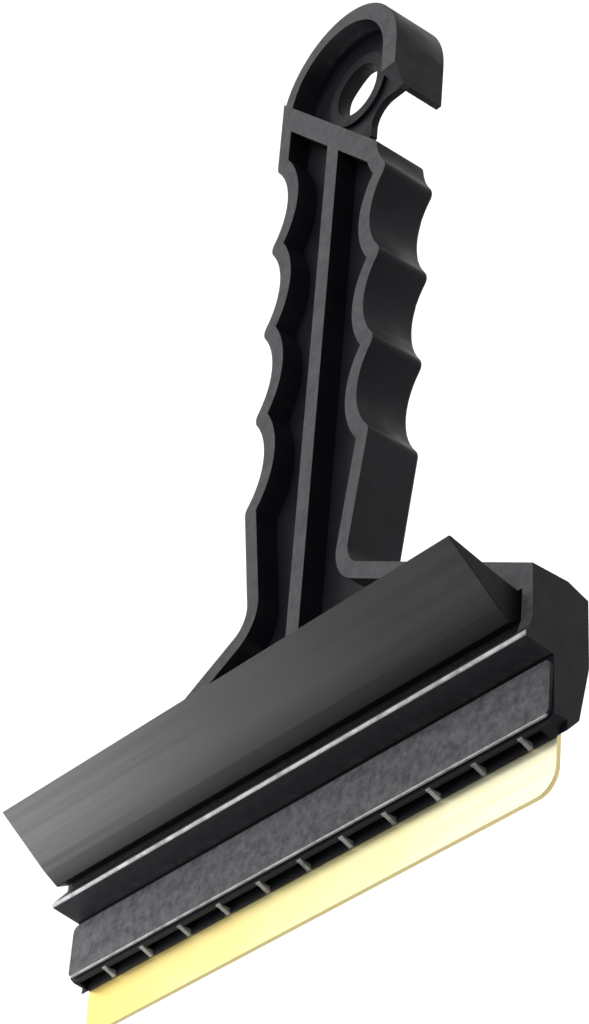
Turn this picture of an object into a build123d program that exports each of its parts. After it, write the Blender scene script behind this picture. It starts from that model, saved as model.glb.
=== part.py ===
from build123d import *
import os

# Hand scraper and squeegee for car windows: one moulded handle with a hook, a thin
# brass scraping blade along its lower edge, and a rubber lip in a channel across its front.
#
# Frame, in mm: the tool lies on its back. +X runs along the head towards its closed
# end, +Y from the blade to the hook, +Z out of the front face. The sections below are
# written with y = 0 at the head's underside, and every piece is moved by the same
# amount at the end, so that the origin is under the middle of the whole tool.

# ---- driving dimensions -------------------------------------------------------
DEPTH = 11.0               # back face to front plane, the same for handle and head
WEB_LOW, WEB_HIGH = 4.4, 6.6   # the thin web at mid depth
FLANGE = 2.9               # width of the rim round the handle and the shoulders

# head
HEAD_HALF = 57.2           # half length of the head
END_FLARE = 1.2            # the head is longer by this much at each end along its lower edge
HEAD_TOP = 26.5            # top of the end wall above the underside
END_WALL = 2.1             # closed end, which stops the lip
BACK_FLAT_Y = 13.0         # the back face is flat above this line and slopes in below it
BACK_LOW = (2.1, 2.9)      # lower back corner, as (z, y)
TOP_BEVEL = (4.0, 1.6)     # bevel of the top back edge: along z, along y
BACK_FILLET = 0.6          # rounding of the outer back edges of the grip and the hook
FACET_X = 45.0             # where the facet on each shoulder's back corner runs out
JAW_EDGE = ((12.3, 14.0), (12.6, 13.5), (12.3, 13.0))  # front edge under the lip, as (z, y)
JAW_FOOT_Y = 12.2          # where the underside of the jaw meets the wall behind the panel
END_WALL_FRONT = ((11.0, 17.4), (11.6, 15.2))  # front of the end wall above the jaw, as (z, y)

# front panel, ribs and pockets under it
PANEL_HALF = 57.9
PANEL_LOW, PANEL_HIGH = 1.8, 11.2
PANEL_Z = 7.7
PANEL_STEP = 0.8           # height of the panel above the wall behind it
PANEL_CORNER = 1.2
UNDER_FRONT = (6.9, 1.0)   # front edge of the underside and its lowest line, as (z, y)
UNDER_LOW = (4.6, 0.1)
CORNER_CUT = (2.2, 2.2)    # cut off the lower front corners of the head: along x, along y
RIB_COUNT = 11
RIB_PITCH = 10.0
RIB_SHIFT = 1.0            # the rib pattern sits this far towards the closed end
RIB_WIDTH = 0.8
POCKET_TOP = 4.5
POCKET_FRONT = (0.3, 0.7)  # wall in front of a pocket, at its mouth and at its top
POCKET_BACK = (4.65, 5.2)  # z of a pocket's back wall, at its mouth and at its top

# brass blade
BLADE_HALF = 56.2
BLADE_LOW, BLADE_HIGH = -8.2, 9.5
BLADE_BACK, BLADE_FRONT = 3.6, 4.4
BLADE_CORNER = 4.0

# rubber lip and its channel
LIP_LEFT, LIP_RIGHT = -57.2, 54.6
LIP_EDGE = ((24.6, 25.95), (24.9, 25.65))  # wiping edge at the lip's tip, as (z, y)
LIP_FRONT = ((15.0, 18.1), (12.5, 16.6))   # lower end of the lip's front face, as (z, y)
LIP_BACK = (17.4, 24.1)    # bend in the lip's back face, as (z, y)
LIP_SEAT = (17.9, 22.4)    # heights between which the lip rests on its seat
SEAT_Z = 10.0              # front face of the channel's wall
SEAT_LOW = 17.0            # height at which the seat turns into the jaw
CAVITY_FRONT, CAVITY_BACK = 8.2, 5.2
NECK_LOW, NECK_HIGH = 18.3, 21.3
FOOT_LOW, FOOT_HIGH = 16.3, 23.3
FIT = 0.15                 # clearance of the lip's foot and neck all round

# handle
RIDGE_X, HOLLOW_X = 16.0, 12.1     # half widths at the finger ridges and hollows
RIDGES_RIGHT = (73.6, 18.65, 4)    # lowest ridge, pitch and number on each side
RIDGES_LEFT = (72.5, 18.8, 5)
NECK_X, NECK_Y = 12.3, 48.8
NECK_FILLET = 5.0
RIDGE_FILLET = 2.0
RIB_HALF = 1.6             # half width of the centre rib
SLOPE_RIGHT = (12.5, 136.9)    # sloping top of the grip, right and left ends
SLOPE_LEFT = (-16.0, 164.0)
SLOPE_FILLET = 1.5
SHOULDER_DIP = (13.5, 133.2)   # middle of the hollow beside the top of the grip
CROSS_RIB = 4.0

# hook
HOOK_Y = 158.9             # centre of the hook's bend
HOOK_R = 16.0
BORE_CENTRE = (-0.6, 159.0)
BORE_R = 12.9
TIP_LOW = 149.4
TIP_CHAMFER = (2.3, 3.7)   # front lower corner of the tip: along z, along y
TIP_TAPER = (2.4, 3.6)     # inner side of the tip's end: along x, along y
HOOK_WEB = 1.4             # thickness of the wall inside the hook, at mid depth
HOLE_CENTRE = (0.4, 159.4)
HOLE_R = 5.4
COLLAR_R = 7.6
COLLAR = 2.8               # thickness of the collar round the hole, at mid depth
THROAT_CENTRE = (8.8, 148.5)   # rounded inner end of the throat
THROAT_R = 4.3

OVERLAP = 0.3              # joined solids run into each other by this much
WEB_OVERLAP = 0.8          # and the wall inside the hook into the rim round it
REACH = 20.0               # cutting shapes reach past what they cut

TOP = HOOK_Y + HOOK_R
MIDDLE = (TOP + BLADE_LOW) / 2


def prism(face, low, high):
    """A plane face in XY, made solid from z = low to z = high."""
    return Pos(0, 0, low) * extrude(face, high - low, dir=(0, 0, 1))


def centred_prism(face, thickness):
    """A plane face in XY, made solid on both sides of mid depth."""
    return prism(face, (DEPTH - thickness) / 2, (DEPTH + thickness) / 2)


def outline(*points):
    """A straight-sided face in XY."""
    return make_face(Polyline(*points, close=True))


def along_head(points, left, right):
    """A section given as (z, y) points, run along X from left to right."""
    section = make_face(Polyline(*[(left, y, z) for z, y in points], close=True))
    return extrude(section, right - left, dir=(1, 0, 0))


def ridges(side):
    """Heights of the finger ridges on side +1 or -1."""
    lowest, pitch, count = RIDGES_RIGHT if side > 0 else RIDGES_LEFT
    return [lowest + pitch * k for k in range(count)]


def scallops(side):
    """Concave finger arcs between the ridges."""
    levels = ridges(side)
    return [
        ThreePointArc((side * RIDGE_X, a), (side * HOLLOW_X, (a + b) / 2), (side * RIDGE_X, b))
        for a, b in zip(levels, levels[1:])
    ]


def grip_face():
    """Outline of the shoulders and the grip, up to the sloping top."""
    right, left = ridges(1), ridges(-1)
    floor = HEAD_TOP - FLANGE - OVERLAP
    edges = [
        Line((-HEAD_HALF, floor), (HEAD_HALF, floor)),
        Line((HEAD_HALF, floor), (HEAD_HALF, HEAD_TOP)),
        Line((HEAD_HALF, HEAD_TOP), (NECK_X, NECK_Y)),
        Line((NECK_X, NECK_Y), (RIDGE_X, right[0])),
        *scallops(1),
        ThreePointArc((RIDGE_X, right[-1]), SHOULDER_DIP, SLOPE_RIGHT),
        Line(SLOPE_RIGHT, SLOPE_LEFT),
        Line(SLOPE_LEFT, (-RIDGE_X, left[-1])),
        *scallops(-1),
        Line((-RIDGE_X, left[0]), (-NECK_X, NECK_Y)),
        Line((-NECK_X, NECK_Y), (-HEAD_HALF, HEAD_TOP)),
        Line((-HEAD_HALF, HEAD_TOP), (-HEAD_HALF, floor)),
    ]
    face = make_face(Wire(edges))
    face = round_corners(face, [(-NECK_X, NECK_Y), (NECK_X, NECK_Y)], NECK_FILLET)
    face = round_corners(face, [SLOPE_RIGHT], SLOPE_FILLET)
    tips = [(RIDGE_X, y) for y in right] + [(-RIDGE_X, y) for y in left]
    return round_corners(face, tips, RIDGE_FILLET)


def round_corners(face, points, radius):
    """Rounds the corners of a face that lie at the given points."""
    corners = [v for v in face.vertices() if any(abs(v.X - x) + abs(v.Y - y) < 0.01 for x, y in points)]
    return fillet(corners, radius)


def cross_band(width):
    """The band under the sloping top of the grip."""
    a, b = Vector(*SLOPE_RIGHT), Vector(*SLOPE_LEFT)
    run = (b - a).normalized()
    down = Vector(-run.Y, run.X) * width
    reach = run * 6
    return outline(*[(p.X, p.Y) for p in (a - reach, b + reach, b + reach + down, a - reach + down)])


def hook_face():
    """The hook's bend and tip as a full-depth rim."""
    bend = Pos(0, HOOK_Y) * Circle(HOOK_R)
    bend &= outline((-REACH, HOOK_Y), (REACH, HOOK_Y), (REACH, HOOK_Y + REACH), (-REACH, HOOK_Y + REACH))
    low = SLOPE_LEFT[1] - HOOK_R / 2
    sides = outline((-HOOK_R, low), (0, low), (0, TIP_LOW), (HOOK_R, TIP_LOW), (HOOK_R, HOOK_Y), (-HOOK_R, HOOK_Y))
    x, y = BORE_CENTRE
    bore = Pos(x, y) * Circle(BORE_R)
    bore += outline((x - BORE_R, y - REACH), (x + BORE_R, y - REACH), (x + BORE_R, y), (x - BORE_R, y))
    dx, dy = TIP_TAPER
    inner = x + BORE_R
    taper = outline((inner, TIP_LOW), (inner, TIP_LOW + dy), (inner + dx, TIP_LOW))
    return bend + sides - bore - taper


def hook_web_face():
    """The thin wall inside the hook, between the rim, the grip's top and the throat."""
    x, y = BORE_CENTRE
    radius = BORE_R + WEB_OVERLAP
    wall = Pos(x, y) * Circle(radius)
    wall += outline((x - radius, y - REACH), (x, y - REACH), (x, y), (x - radius, y))
    grip = outline(SLOPE_LEFT, SLOPE_RIGHT, (HOOK_R, y - 2 * REACH), (-HOOK_R, y - 2 * REACH))
    return wall - throat_face() - grip + (wall & cross_band(WEB_OVERLAP))


def throat_face():
    """The open way into the hook, up to its rounded inner end."""
    x, y = THROAT_CENTRE
    low = y - 3 * THROAT_R
    end = Pos(x, y) * Circle(THROAT_R)
    left = outline((x - THROAT_R, low), (x, low), (x, y), (x - THROAT_R, y))
    right = outline((x, low), (x + 4 * THROAT_R, low), (x + 4 * THROAT_R, y + THROAT_R), (x, y + THROAT_R))
    return end + left + right


def handle():
    """Grip, shoulders and hook."""
    grip = grip_face()
    field = offset(grip, -FLANGE, kind=Kind.INTERSECTION)
    field -= outline((-RIB_HALF, 0), (RIB_HALF, 0), (RIB_HALF, 170), (-RIB_HALF, 170))
    field -= cross_band(CROSS_RIB)
    solid = prism(grip, 0, DEPTH)
    solid -= prism(field, WEB_HIGH, DEPTH)
    solid -= prism(field, 0, WEB_LOW)
    hook = prism(hook_face(), 0, DEPTH)
    web = hook_web_face()
    collar = web & Pos(*HOLE_CENTRE) * Circle(COLLAR_R)
    hook += centred_prism(web, HOOK_WEB) + centred_prism(collar, COLLAR)
    hook -= prism(Pos(*HOLE_CENTRE) * Circle(HOLE_R), 0, DEPTH)
    dz, dy = TIP_CHAMFER
    corner = along_head([(DEPTH - dz, TIP_LOW), (DEPTH, TIP_LOW + dy), (DEPTH + 1, TIP_LOW)], 8, 20)
    hook -= corner
    return solid + hook


def head():
    """Head with its jaw, channel, panel, ribbed underside, blade slot and end wall."""
    tz, ty = TOP_BEVEL
    wall_z = PANEL_Z - PANEL_STEP
    back = [UNDER_LOW, BACK_LOW, (0, BACK_FLAT_Y), (0, HEAD_TOP - ty), (tz, HEAD_TOP), (DEPTH, HEAD_TOP)]
    jaw = [*JAW_EDGE, (wall_z, JAW_FOOT_Y), UNDER_FRONT]
    seat_top = FOOT_HIGH - OVERLAP
    lip_seat = [(DEPTH, seat_top), (SEAT_Z, seat_top), (SEAT_Z, SEAT_LOW)]
    reach = HEAD_HALF + END_FLARE
    block = along_head([*back, *lip_seat, *jaw], -reach, reach)
    block += along_head([*back, *END_WALL_FRONT, *jaw], HEAD_HALF - END_WALL, reach)
    block &= prism(
        outline((-HEAD_HALF, HEAD_TOP), (-reach, 0), (reach, 0), (HEAD_HALF, HEAD_TOP)), -1, REACH
    )
    panel = outline(
        (-PANEL_HALF, PANEL_LOW), (PANEL_HALF, PANEL_LOW), (PANEL_HALF, PANEL_HIGH), (-PANEL_HALF, PANEL_HIGH)
    )
    block += prism(fillet(panel.vertices(), PANEL_CORNER), wall_z - 1, PANEL_Z)
    dx, dy = CORNER_CUT
    for side in (-1, 1):
        cut = outline((side * (reach - dx), 0), (side * (reach + 1), 0), (side * (reach + 1), dy), (side * reach, dy))
        block -= prism(cut, BLADE_FRONT, DEPTH)
    block -= channel()
    block -= along_head(
        [(BLADE_BACK, -1), (BLADE_FRONT, -1), (BLADE_FRONT, BLADE_HIGH), (BLADE_BACK, BLADE_HIGH)],
        -BLADE_HALF, BLADE_HALF,
    )
    for pocket in pockets():
        block -= pocket
    return block


def channel():
    """The undercut channel for the lip, open at the left end."""
    right = HEAD_HALF - END_WALL
    neck = along_head(
        [(CAVITY_FRONT - 1, NECK_LOW), (SEAT_Z + 1, NECK_LOW), (SEAT_Z + 1, NECK_HIGH), (CAVITY_FRONT - 1, NECK_HIGH)],
        -HEAD_HALF - 2, right,
    )
    foot = along_head(
        [(CAVITY_BACK, FOOT_LOW), (CAVITY_FRONT, FOOT_LOW), (CAVITY_FRONT, FOOT_HIGH), (CAVITY_BACK, FOOT_HIGH)],
        -HEAD_HALF - 2, right,
    )
    return neck + foot


def pockets():
    """Tapered pockets under the head, with a thin rib left between neighbours."""
    z = UNDER_FRONT[0]
    front_mouth, front_top = POCKET_FRONT
    back_mouth, back_top = POCKET_BACK
    section = [(z - front_mouth, -1), (z - front_top, POCKET_TOP), (back_top, POCKET_TOP), (back_mouth, -1)]
    first = RIB_SHIFT - RIB_PITCH * (RIB_COUNT - 1) / 2
    centres = [first + RIB_PITCH * k for k in range(RIB_COUNT)]
    stops = [-BLADE_HALF - RIB_WIDTH / 2, *centres, HEAD_HALF - END_WALL + RIB_WIDTH / 2]
    for a, b in zip(stops, stops[1:]):
        yield along_head(section, a + RIB_WIDTH / 2, b - RIB_WIDTH / 2)


def blade():
    """Brass blade with its two free corners rounded."""
    plate = outline(
        (-BLADE_HALF, BLADE_LOW), (BLADE_HALF, BLADE_LOW), (BLADE_HALF, BLADE_HIGH), (-BLADE_HALF, BLADE_HIGH)
    )
    corners = [v for v in plate.vertices() if v.Y < 0]
    return prism(fillet(corners, BLADE_CORNER), BLADE_BACK, BLADE_FRONT)


def lip():
    """Rubber lip: a wedge in front of the head, with a neck and a foot in the channel."""
    seat = SEAT_Z + FIT
    seat_low, seat_high = LIP_SEAT
    section = [
        *LIP_EDGE, *LIP_FRONT, (seat, seat_low), (seat, NECK_LOW + FIT),
        (CAVITY_FRONT - FIT, NECK_LOW + FIT), (CAVITY_FRONT - FIT, FOOT_LOW + FIT),
        (CAVITY_BACK + FIT, FOOT_LOW + FIT), (CAVITY_BACK + FIT, FOOT_HIGH - FIT),
        (CAVITY_FRONT - FIT, FOOT_HIGH - FIT), (CAVITY_FRONT - FIT, NECK_HIGH - FIT),
        (seat, NECK_HIGH - FIT), (seat, seat_high), LIP_BACK,
    ]
    return along_head(section, LIP_LEFT, LIP_RIGHT)


def body():
    """The whole moulding, with its outer back edges rounded and its shoulder corners cut."""
    solid = (handle() + head()).solid()
    rim = grip_face().faces()[0].outer_wire()
    back_edges = [
        e for e in solid.edges()
        if e.bounding_box().max.Z < 0.01 and e.length < HEAD_HALF
        and HEAD_TOP < e.position_at(0.5).Y < SLOPE_RIGHT[1] and rim.distance_to(e.position_at(0.5)) < 0.05
    ]
    solid = solid.fillet(BACK_FILLET, back_edges)
    return solid - shoulder_facet(1) - shoulder_facet(-1)


def shoulder_facet(side):
    """What is cut from the back corner where a shoulder meets the head's end."""
    tz, ty = TOP_BEVEL
    rise = (NECK_Y - HEAD_TOP) / (HEAD_HALF - NECK_X)
    corners = [
        (side * HEAD_HALF, HEAD_TOP - ty, 0),
        (side * HEAD_HALF, HEAD_TOP, tz),
        (side * FACET_X, HEAD_TOP + rise * (HEAD_HALF - FACET_X), 0),
    ]
    face = make_face(Polyline(*corners, close=True))
    outward = Vector(side, rise + 1, -1)
    return extrude(face, 2 * tz, dir=outward)


def write(name, solid):
    os.makedirs("parts", exist_ok=True)
    export_step(Pos(0, -MIDDLE, 0) * solid.solid(), f"parts/{name}.step")


write("moulded_body", body())
write("brass_blade", blade())
write("squeegee_lip", lip())
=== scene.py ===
import math

import bpy
from mathutils import Matrix, Vector


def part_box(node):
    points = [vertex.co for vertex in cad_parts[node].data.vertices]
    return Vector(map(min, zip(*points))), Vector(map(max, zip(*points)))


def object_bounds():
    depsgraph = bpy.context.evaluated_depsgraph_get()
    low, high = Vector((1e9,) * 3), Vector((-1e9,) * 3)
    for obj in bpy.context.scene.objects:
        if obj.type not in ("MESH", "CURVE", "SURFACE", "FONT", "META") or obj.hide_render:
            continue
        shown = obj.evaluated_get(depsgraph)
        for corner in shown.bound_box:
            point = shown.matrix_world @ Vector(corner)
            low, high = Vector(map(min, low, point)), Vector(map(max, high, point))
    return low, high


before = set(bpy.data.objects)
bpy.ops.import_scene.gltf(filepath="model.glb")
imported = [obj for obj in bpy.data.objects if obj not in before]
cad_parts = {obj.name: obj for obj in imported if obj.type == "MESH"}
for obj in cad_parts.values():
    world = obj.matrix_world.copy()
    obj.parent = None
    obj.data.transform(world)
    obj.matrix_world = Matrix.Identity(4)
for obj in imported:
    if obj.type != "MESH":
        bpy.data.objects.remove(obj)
cad_low, cad_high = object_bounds()

# Everything is in metres, in the row frame. The tool's back is level and faces down: X runs
# along the head towards its closed end, Y from the blade to the hook, Z out of the front.
MM = 0.001

# ---- camera: where it stands, which way is up in the picture, and its lens --------
CAMERA_AT = Vector((362.69, -337.78, 278.41)) * MM
CAMERA_BACK = Vector((0.65836, -0.57763, 0.48269))
CAMERA_UP = Vector((0.41332, 0.81331, 0.40943))
LENS = 119.45
SENSOR = 36.0

# ---- places on the tool, read from the frame ---------------------------------------
BODY_LOW, BODY_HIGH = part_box("moulded_body")
BLADE_LOW, BLADE_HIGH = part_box("brass_blade")
LIP_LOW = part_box("squeegee_lip")[0]
# below RECESS_TOP the webs and the wall under the jaw are painted darker, as shade
RECESS_TOP = BODY_LOW.z + 7.2 * MM     # the webs and the wall under the jaw lie below this
JAW_FRONT = BODY_HIGH.z                # front edge of the jaw, the highest line of the body
PANEL_FOOT = BODY_LOW.y + 1.7 * MM     # lower edge of the raised panel
PANEL_FRONT = BODY_LOW.z + 8.0 * MM    # the panel lies below this, the rims of the grip above it
RIB_FOOT = BODY_LOW.y + 0.9 * MM       # the ribs under the head end below this
RIB_SHIFT = 1.0 * MM                   # the middle rib's place along the head
RIB_PITCH = 10.0 * MM
# painted shade darkens the lip's root between these two heights
LIP_ROOT = LIP_LOW.z + 7.2 * MM        # the lip is darkest below this
LIP_MIDDLE = LIP_LOW.z + 13.0 * MM     # and at its full colour above this

# ---- floor -----------------------------------------------------------------------------
# The tool hangs well above the floor: light shows through the hook, and no shadow is near.
FLOOR_DROP = 150 * MM
FLOOR_SIZE = 8.0

# ---- edge rounding, in metres --------------------------------------------------------
PLASTIC_ROUND = 0.45 * MM
BRASS_ROUND = 0.12 * MM
RUBBER_ROUND = 0.2 * MM
SHARP = math.radians(28)

# ---- colours, linear -------------------------------------------------------------------
FLOOR_DARK, FLOOR_LIGHT = (0.93, 0.93, 0.93), (0.96, 0.96, 0.96)
# painted shade: the walls' colours darken recesses, pockets and faces turned away from the front
WALL_DARK, WALL_LIGHT = (0.0038, 0.0042, 0.006), (0.0065, 0.007, 0.0095)
RIM_DARK, RIM_LIGHT = (0.03, 0.031, 0.034), (0.055, 0.056, 0.06)
PANEL_DARK, PANEL_LIGHT = (0.036, 0.037, 0.04), (0.09, 0.091, 0.096)
# a painted highlight colour for the jaw's front edge, the panel's lower edge and the ribs' feet
PAINTED_HIGHLIGHT_GREY = (0.5, 0.51, 0.52)
# the brass goes from deeper yellow at the open end to a paler colour of painted light at the closed
# end
BRASS_OPEN_END = (0.82, 0.62, 0.16)
BRASS_MIDDLE = (0.85, 0.78, 0.39)
BRASS_PAINTED_LIGHT_CLOSED_END = (0.93, 0.90, 0.66)
BRASS_STREAK = (0.86, 0.70, 0.30)
BRASS_CUT = (0.6, 0.5, 0.24)
RUBBER_DARK, RUBBER_LIGHT = (0.006, 0.006, 0.0072), (0.014, 0.014, 0.016)
RUBBER_BLOOM = (0.022, 0.022, 0.024)
# painted shade for the lip's root and end faces
RUBBER_PAINTED_SHADE = (0.005, 0.005, 0.006)


# ---- camera, lights and floor ----------------------------------------------------------
def matrix_facing(at, back, up):
    """A matrix whose local +Z is back and whose local +Y is up, as far as they allow."""
    z = back.normalized()
    x = up.cross(z).normalized()
    y = z.cross(x)
    return Matrix.Translation(at) @ Matrix((x, y, z)).transposed().to_4x4()


def make_camera():
    data = bpy.data.cameras.new("camera")
    data.lens = LENS
    data.sensor_width = SENSOR
    data.sensor_fit = "AUTO"
    data.clip_start = 0.01
    data.clip_end = 50.0
    camera = bpy.data.objects.new("camera", data)
    camera.matrix_world = matrix_facing(CAMERA_AT, CAMERA_BACK, CAMERA_UP)
    bpy.context.scene.collection.objects.link(camera)
    bpy.context.scene.camera = camera


def area_light(name, direction, distance, width, height, power):
    """A soft rectangular light that looks at the origin from the given direction."""
    data = bpy.data.lights.new(name, "AREA")
    data.shape = "RECTANGLE"
    data.size = width
    data.size_y = height
    data.energy = power
    light = bpy.data.objects.new(name, data)
    towards = Vector(direction).normalized()
    light.matrix_world = matrix_facing(towards * distance, towards, Vector((0, 0.3, 1)))
    bpy.context.scene.collection.objects.link(light)


def make_lights():
    area_light("overhead", (0.1, 0.15, 1.0), 1.6, 1.6, 1.6, 26.0)
    area_light("behind_the_hook", (-0.66, 0.58, 0.5), 1.2, 0.9, 0.9, 3.1)
    area_light("low_beside_the_lip", (-0.8, -0.55, 0.4), 0.19, 0.11, 0.11, 0.17)
    area_light("beside_the_closed_end", (1.0, -0.3, 0.35), 1.2, 0.8, 0.8, 0.25)


def make_world():
    world = bpy.data.worlds.new("studio")
    world.use_nodes = True
    background = world.node_tree.nodes["Background"]
    background.inputs["Color"].default_value = (1.0, 1.0, 1.0, 1.0)
    background.inputs["Strength"].default_value = 0.4
    bpy.context.scene.world = world
    bpy.context.scene.view_settings.view_transform = "Standard"


def make_floor():
    bpy.ops.mesh.primitive_plane_add(size=FLOOR_SIZE, location=(0, 0, cad_low.z - FLOOR_DROP))
    floor = bpy.context.object
    floor.name = "floor"
    floor.data.materials.append(floor_material())


# ---- shader helpers --------------------------------------------------------------------
class Shader:
    """A Principled material with short ways to add and join nodes."""

    def __init__(self, name):
        self.material = bpy.data.materials.new(name)
        self.material.use_nodes = True
        self.tree = self.material.node_tree
        self.surface = self.tree.nodes["Principled BSDF"]
        self.place = self.tree.nodes.new("ShaderNodeTexCoord").outputs["Object"]

    def set(self, **values):
        for name, value in values.items():
            self.surface.inputs[name.replace("_", " ")].default_value = value

    def join(self, source, target):
        self.tree.links.new(source, target)

    def stretched(self, scale):
        """The place on the object, multiplied by scale along each axis."""
        node = self.tree.nodes.new("ShaderNodeMapping")
        node.inputs["Scale"].default_value = scale
        self.join(self.place, node.inputs["Vector"])
        return node.outputs["Vector"]

    def noise(self, scale, detail=4.0, roughness=0.55, stretch=(1, 1, 1)):
        node = self.tree.nodes.new("ShaderNodeTexNoise")
        node.inputs["Scale"].default_value = scale
        node.inputs["Detail"].default_value = detail
        node.inputs["Roughness"].default_value = roughness
        self.join(self.stretched(stretch), node.inputs["Vector"])
        return node.outputs["Fac"]

    def ramp(self, source, *stops):
        """A colour ramp with stops of (position, colour)."""
        node = self.tree.nodes.new("ShaderNodeValToRGB")
        elements = node.color_ramp.elements
        while len(elements) < len(stops):
            elements.new(0.5)
        for element, (position, colour) in zip(elements, stops):
            element.position = position
            element.color = (*colour, 1.0)
        self.join(source, node.inputs["Fac"])
        return node.outputs["Color"]

    def levels(self, source, from_low, from_high, to_low, to_high):
        """A value carried from one range to another, and held inside it."""
        node = self.tree.nodes.new("ShaderNodeMapRange")
        names = ("From Min", "From Max", "To Min", "To Max")
        for name, value in zip(names, (from_low, from_high, to_low, to_high)):
            node.inputs[name].default_value = value
        self.join(source, node.inputs["Value"])
        return node.outputs["Result"]

    def math(self, operation, a, b):
        node = self.tree.nodes.new("ShaderNodeMath")
        node.operation = operation
        for socket, value in zip(node.inputs, (a, b)):
            if isinstance(value, (int, float)):
                socket.default_value = value
            else:
                self.join(value, socket)
        return node.outputs["Value"]

    def mix(self, share, a, b):
        """Colour a where share is 0, colour b where it is 1."""
        node = self.tree.nodes.new("ShaderNodeMix")
        node.data_type = "RGBA"
        self.join(share, node.inputs[0])
        for socket, value in ((node.inputs[6], a), (node.inputs[7], b)):
            if isinstance(value, tuple):
                socket.default_value = (*value, 1.0)
            else:
                self.join(value, socket)
        return node.outputs[2]

    def axis(self, name):
        """The place along an axis of the row frame."""
        node = self.tree.nodes.new("ShaderNodeSeparateXYZ")
        self.join(self.place, node.inputs["Vector"])
        return node.outputs[name]

    def facing(self, name):
        """The surface normal's part along an axis of the row frame."""
        geometry = self.tree.nodes.new("ShaderNodeNewGeometry")
        node = self.tree.nodes.new("ShaderNodeSeparateXYZ")
        self.join(geometry.outputs["Normal"], node.inputs["Vector"])
        return node.outputs[name]

    def bump(self, height, distance, strength):
        node = self.tree.nodes.new("ShaderNodeBump")
        node.inputs["Distance"].default_value = distance
        node.inputs["Strength"].default_value = strength
        self.join(height, node.inputs["Height"])
        self.join(node.outputs["Normal"], self.surface.inputs["Normal"])

    def colour(self, source):
        self.join(source, self.surface.inputs["Base Color"])

    def roughness(self, source):
        self.join(source, self.surface.inputs["Roughness"])


# ---- materials -------------------------------------------------------------------------
def floor_material():
    shader = Shader("pale_floor")
    shader.set(Roughness=0.9)
    soft = shader.noise(3.0, 2.0)
    shader.colour(shader.ramp(soft, (0.3, FLOOR_DARK), (0.7, FLOOR_LIGHT)))
    return shader.material


def plastic_surface(shader, mottle, raised):
    """Painted shade makes walls, pockets and faces turned from the front near black, and painted light
    lightens lower faces; the front rims and panel keep the greyer mottled plastic.
    """
    cloud = shader.noise(90.0, 5.0, 0.6)
    dark = shader.ramp(cloud, (0.3, WALL_DARK), (0.7, WALL_LIGHT))
    rims = shader.ramp(mottle, (0.3, RIM_DARK), (0.7, RIM_LIGHT))
    panel = shader.ramp(mottle, (0.35, PANEL_DARK), (0.65, PANEL_LIGHT))
    above_panel = shader.levels(shader.axis("Z"), PANEL_FRONT, PANEL_FRONT + MM, 0.0, 1.0)
    pale = shader.mix(above_panel, panel, rims)
    upward = shader.levels(shader.facing("Z"), 0.7, 0.98, 0.0, 1.0)
    surface = shader.mix(shader.math("MULTIPLY", upward, raised), dark, pale)
    # painted light: lower faces of the raised parts are lightened towards the front colour
    painted_underside_light = shader.levels(shader.facing("Y"), -0.7, -0.95, 0.0, 0.35)
    return shader.mix(shader.math("MULTIPLY", painted_underside_light, raised), surface, pale)


def painted_edge_highlights(shader, raised):
    """Painted highlights: 1 along the jaw's front edge and the panel's lower edge, less on the ribs'
    feet.
    """
    jaw_edge = shader.levels(shader.axis("Z"), JAW_FRONT - 0.35 * MM, JAW_FRONT - 0.15 * MM, 0.0, 1.0)
    low = shader.levels(shader.axis("Y"), PANEL_FOOT + 0.3 * MM, PANEL_FOOT + 0.1 * MM, 0.0, 1.0)
    panel_edge = shader.math("MULTIPLY", low, raised)
    along = shader.math("SUBTRACT", shader.axis("X"), RIB_SHIFT)
    from_rib = shader.math("PINGPONG", along, RIB_PITCH / 2)
    on_rib = shader.levels(from_rib, 0.6 * MM, 0.4 * MM, 0.0, 0.6)
    under = shader.levels(shader.axis("Y"), RIB_FOOT + 0.2 * MM, RIB_FOOT, 0.0, 1.0)
    rib_foot = shader.math("MULTIPLY", on_rib, under)
    edges = shader.math("MAXIMUM", jaw_edge, panel_edge)
    return shader.math("MAXIMUM", edges, rib_foot)


def plastic_material():
    """Satin black moulded plastic with painted highlights along its bright edges."""
    shader = Shader("black_plastic")
    shader.set(IOR=1.46, Specular_IOR_Level=0.16)
    grain = shader.noise(4200.0, 3.0, 0.6)
    mottle = shader.noise(700.0, 4.0, 0.7)
    raised = shader.levels(shader.axis("Z"), RECESS_TOP, RECESS_TOP + 0.2 * MM, 0.0, 1.0)
    # the painted edge highlights are broken up by noise
    highlight_breakup = shader.levels(shader.noise(330.0, 4.0, 0.7), 0.35, 0.6, 0.45, 1.0)
    edge_highlight = shader.math("MULTIPLY", painted_edge_highlights(shader, raised), highlight_breakup)
    shader.colour(shader.mix(edge_highlight, plastic_surface(shader, mottle, raised), PAINTED_HIGHLIGHT_GREY))
    gloss = shader.noise(260.0, 4.0, 0.6)
    shader.roughness(shader.levels(gloss, 0.3, 0.7, 0.4, 0.55))
    height = shader.math("ADD", grain, shader.math("MULTIPLY", mottle, 1.5))
    shader.bump(height, 0.05 * MM, 0.35)
    return shader.material


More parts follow.
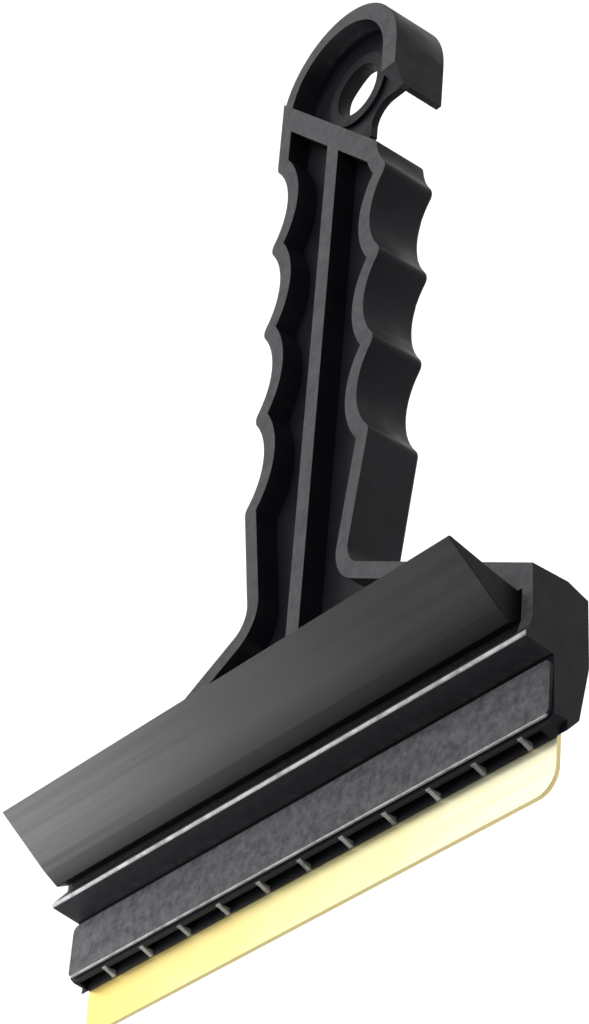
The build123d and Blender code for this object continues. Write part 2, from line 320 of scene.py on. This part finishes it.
def brass_material():
    """Rolled brass sheet: fine lines along it, tan cut edges, and painted light that pales it from
    deeper yellow at the open end towards near white at the closed end.
    """
    shader = Shader("brass")
    shader.set(Metallic=1.0)
    rolled = shader.noise(260.0, 6.0, 0.65, (0.05, 3.0, 3.0))
    painted_gradient_wobble = shader.noise(35.0, 4.0, 0.6)
    # painted light: the blade pales along X towards the closed end, with a random wobble
    along = shader.levels(shader.axis("X"), BLADE_LOW.x, BLADE_HIGH.x, 0.0, 1.0)
    along = shader.math("ADD", along, shader.levels(painted_gradient_wobble, 0.3, 0.7, -0.12, 0.12))
    yellow = shader.ramp(along, (0.0, BRASS_OPEN_END), (0.5, BRASS_MIDDLE), (1.0, BRASS_PAINTED_LIGHT_CLOSED_END))
    streaks = shader.levels(rolled, 0.3, 0.7, 0.0, 0.25)
    sheet = shader.mix(streaks, yellow, BRASS_STREAK)
    flat = shader.math("ABSOLUTE", shader.facing("Z"), 0.0)
    cut = shader.levels(flat, 0.9, 0.5, 0.0, 1.0)
    shader.colour(shader.mix(cut, sheet, BRASS_CUT))
    shader.roughness(shader.levels(rolled, 0.3, 0.7, 0.26, 0.42))
    shader.bump(rolled, 0.02 * MM, 0.4)
    return shader.material


def rubber_material():
    """Dark grey rubber: fine drag lines along the lip, a faint bloom, and painted shade darkening the
    root and the cut ends.
    """
    shader = Shader("rubber")
    shader.set(IOR=1.52)
    drag = shader.noise(420.0, 6.0, 0.7, (0.03, 2.0, 2.0))
    bloom = shader.noise(45.0, 4.0, 0.6)
    base = shader.ramp(drag, (0.3, RUBBER_DARK), (0.7, RUBBER_LIGHT))
    drawn = shader.mix(shader.levels(bloom, 0.4, 0.8, 0.0, 0.6), base, RUBBER_BLOOM)
    # painted shade: the lip darkens towards its root and on its end faces, and is less glossy there
    above_root = shader.levels(shader.axis("Z"), LIP_ROOT, LIP_MIDDLE, 0.0, 1.0)
    sideways = shader.math("ABSOLUTE", shader.facing("X"), 0.0)
    outside_painted_shade = shader.math("MULTIPLY", above_root, shader.levels(sideways, 0.3, 0.8, 1.0, 0.0))
    shader.colour(shader.mix(outside_painted_shade, RUBBER_PAINTED_SHADE, drawn))
    shader.join(shader.levels(outside_painted_shade, 0.0, 1.0, 0.12, 0.5), shader.surface.inputs["Specular IOR Level"])
    shader.roughness(shader.levels(drag, 0.3, 0.7, 0.34, 0.5))
    shader.bump(drag, 0.03 * MM, 0.5)
    return shader.material


# ---- the CAD nodes' surfaces -----------------------------------------------------------
def soften(node, width):
    """Joins the CAD mesh's split corners and rounds its edges, as a mould does."""
    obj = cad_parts[node]
    weld = obj.modifiers.new("weld", "WELD")
    weld.merge_threshold = 0.001 * MM
    bevel = obj.modifiers.new("bevel", "BEVEL")
    bevel.width = width
    bevel.segments = 3
    bevel.limit_method = "ANGLE"
    bevel.angle_limit = SHARP
    bevel.use_clamp_overlap = True
    bevel.harden_normals = True


def paint(node, material):
    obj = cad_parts[node]
    obj.data.materials.clear()
    obj.data.materials.append(material)


def finish_nodes():
    paint("moulded_body", plastic_material())
    paint("brass_blade", brass_material())
    paint("squeegee_lip", rubber_material())
    soften("moulded_body", PLASTIC_ROUND)
    soften("brass_blade", BRASS_ROUND)
    soften("squeegee_lip", RUBBER_ROUND)


make_camera()
make_lights()
make_world()
make_floor()
finish_nodes()
